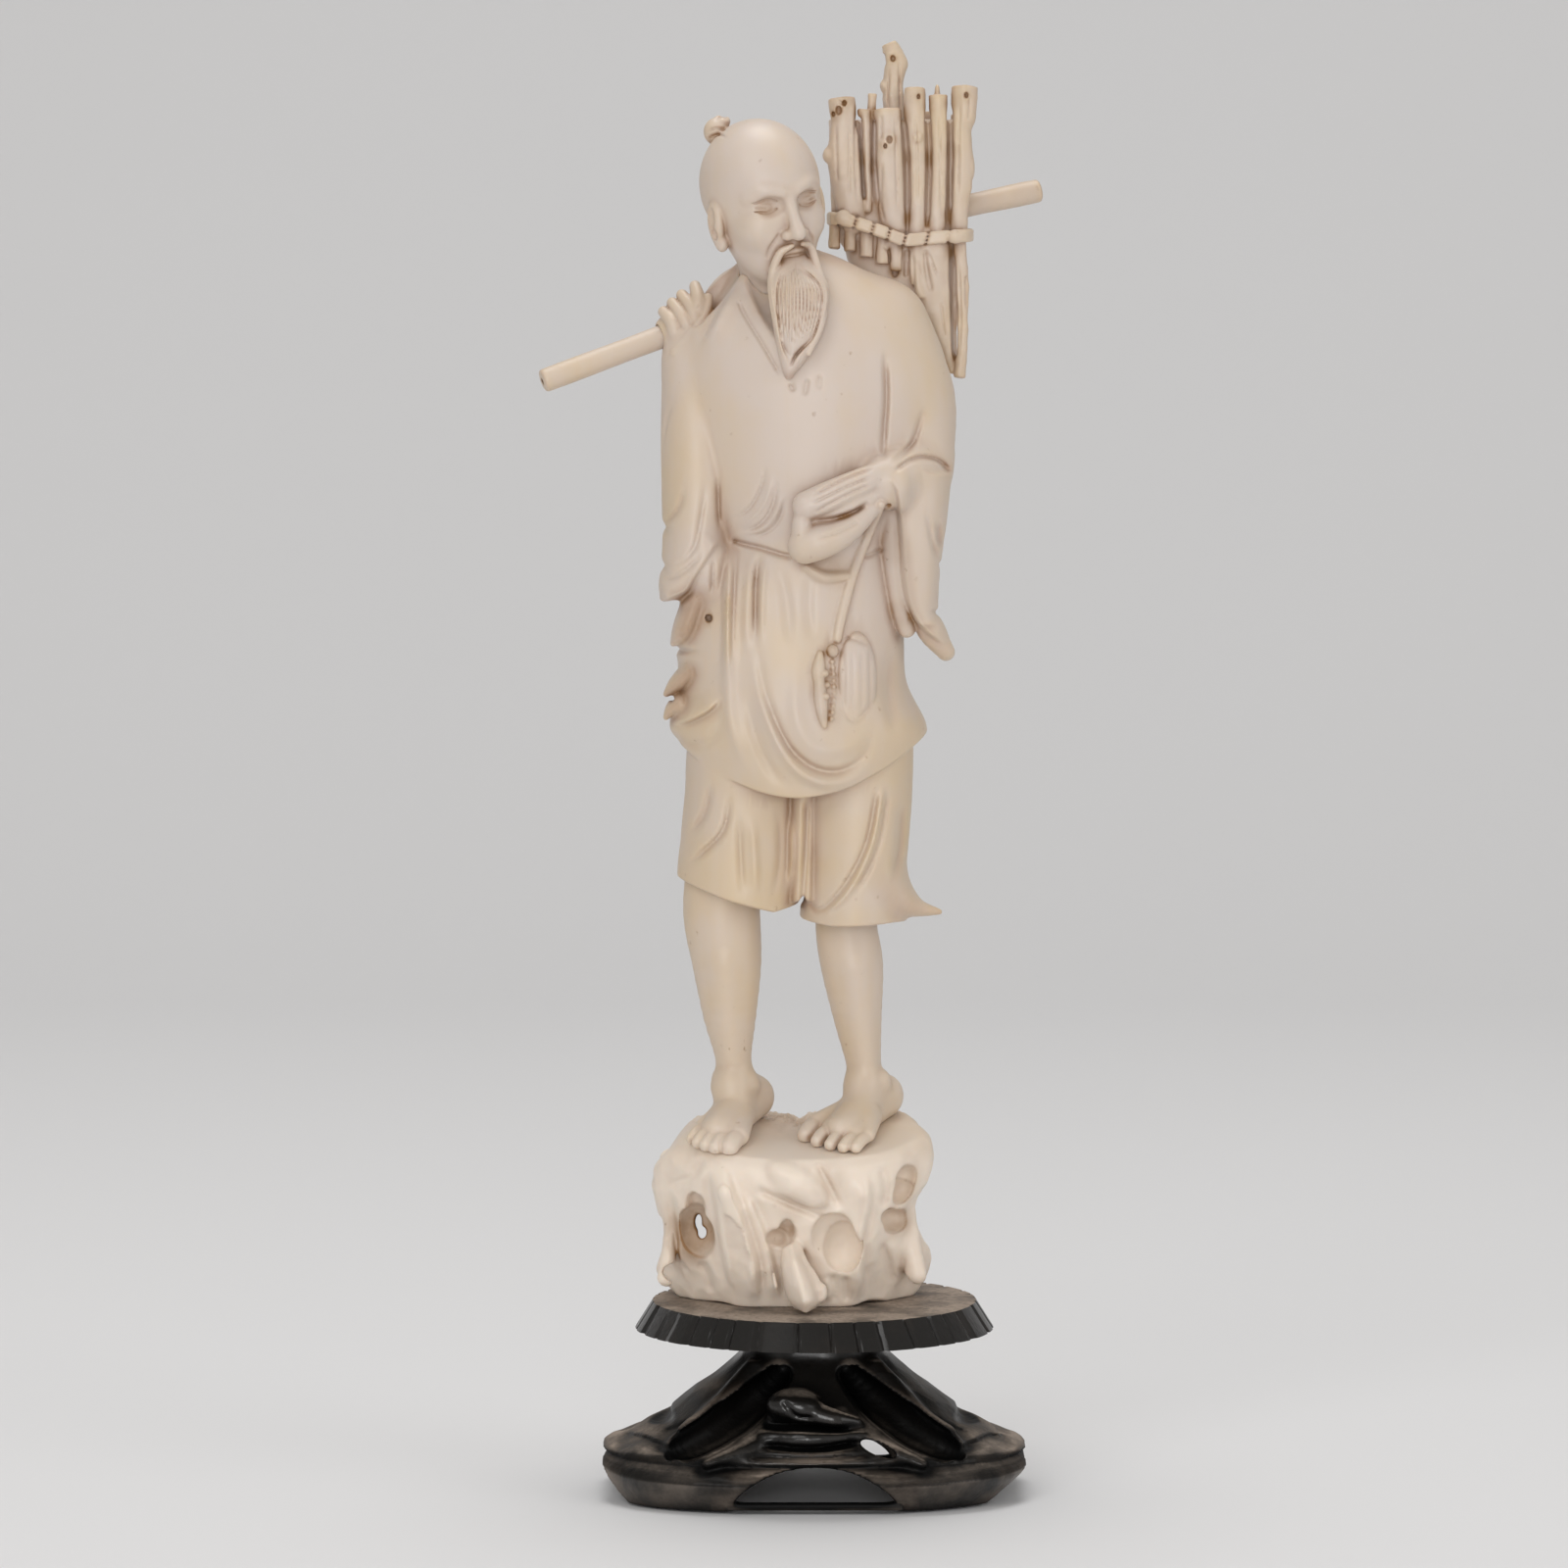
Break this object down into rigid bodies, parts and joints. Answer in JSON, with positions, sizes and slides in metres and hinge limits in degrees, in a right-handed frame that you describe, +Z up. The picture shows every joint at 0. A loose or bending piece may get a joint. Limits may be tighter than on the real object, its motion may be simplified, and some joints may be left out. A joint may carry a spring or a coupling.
{
  "type": "okimono carving",
  "caption": "Carved ivory-toned figure of an old woodcutter carrying firewood on a pole, pegged to a pierced rock on a carved dark wood stand.",
  "frame": {"origin": "on the floor, at the middle of the whole object's footprint box, under the figure's axis", "axes": "+Z up, +X to the viewer's right as the figure faces the viewer, -Y to the front"},
  "size_m": [0.0699, 0.0496, 0.1994],
  "materials": {
    "ivory": "polished, satin, brown in the cuts",
    "dark_wood": "black stained, waxed, dusty on top"
  },
  "bodies": {
    "stand": {"stand_base": "dark_wood", "stand_plate": "dark_wood", "stand_dowel": "dark_wood", "figure_pegs": "dark_wood"},
    "figure": {"rock_base": "ivory", "foot_pegs": "ivory", "left_leg": "ivory", "right_leg": "ivory", "figure_body": "ivory", "head": "ivory", "firewood_bundle": "ivory", "bundle_peg": "ivory", "loose_twig": "ivory"},
    "front_pole": {"front_pole": "ivory"},
    "rear_pole": {"rear_pole": "ivory"}
  },
  "joints": [
    {"name": "figure_lift", "type": "slide", "parent": "stand", "child": "figure", "axis": [0, 0, 1], "range_m": [0, 0.005]},
    {"name": "front_pole_draw", "type": "slide", "parent": "figure", "child": "front_pole", "axis": [-0.9083, -0.2452, -0.3388], "range_m": [0, 0.0075]},
    {"name": "rear_pole_draw", "type": "slide", "parent": "figure", "child": "rear_pole", "axis": [0.9462, 0.2555, 0.1987], "range_m": [0, 0.007]}
  ]
}
